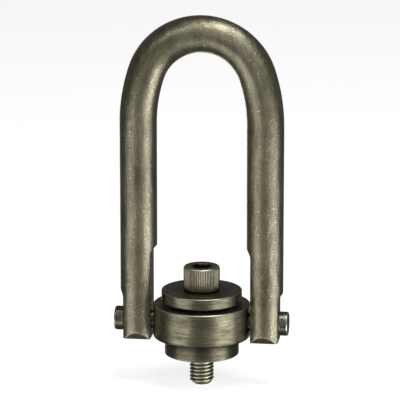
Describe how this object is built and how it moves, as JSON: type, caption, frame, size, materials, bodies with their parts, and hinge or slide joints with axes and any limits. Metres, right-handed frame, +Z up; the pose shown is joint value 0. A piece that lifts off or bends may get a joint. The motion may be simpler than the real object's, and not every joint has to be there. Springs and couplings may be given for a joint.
{
  "type": "swivel hoist ring",
  "caption": "Safety swivel hoist ring with a tall round U-bar pinned to a ring that swivels on a flanged bushing, held down by a socket head screw.",
  "frame": {"origin": "centre of the bushing's mounting face, on the screw's axis", "axes": "+Z up the screw axis towards the U-bar's crown, X along the shoulder pins, Y across the U-bar"},
  "size_m": [0.0914, 0.0508, 0.1964],
  "materials": {
    "forged_bar": "dark heat-treated forging, semi-gloss",
    "turned_steel": "turned, then black oxide, semi-gloss",
    "screw_steel": "phosphated, matte",
    "pin_steel": "ground, black oxide, semi-gloss",
    "spring_steel": "black oxide spring steel"
  },
  "bodies": {
    "bushing": {"bushing": "turned_steel"},
    "swivel_ring": {"swivel_ring": "turned_steel", "shoulder_pin_left": "pin_steel", "shoulder_pin_right": "pin_steel", "roll_pin_left": "spring_steel", "roll_pin_right": "spring_steel"},
    "u_bar": {"u_bar": "forged_bar"},
    "screw": {"socket_head_screw": "screw_steel", "retaining_ring": "spring_steel"},
    "washer": {"washer": "turned_steel"}
  },
  "joints": [
    {"name": "ring_swivel", "type": "hinge", "parent": "bushing", "child": "swivel_ring", "pos_m": [0, 0, 0.0173], "axis": [0, 0, 1], "continuous": true},
    {"name": "u_bar_pivot", "type": "hinge", "parent": "swivel_ring", "child": "u_bar", "pos_m": [0, 0, 0.0173], "axis": [1, 0, 0], "range_deg": [-90, 90]},
    {"name": "screw_turn", "type": "hinge", "parent": "bushing", "child": "screw", "pos_m": [0, 0, 0], "axis": [0, 0, 1], "continuous": true},
    {"name": "washer_turn", "type": "hinge", "parent": "bushing", "child": "washer", "pos_m": [0, 0, 0.0286], "axis": [0, 0, 1], "continuous": true}
  ]
}
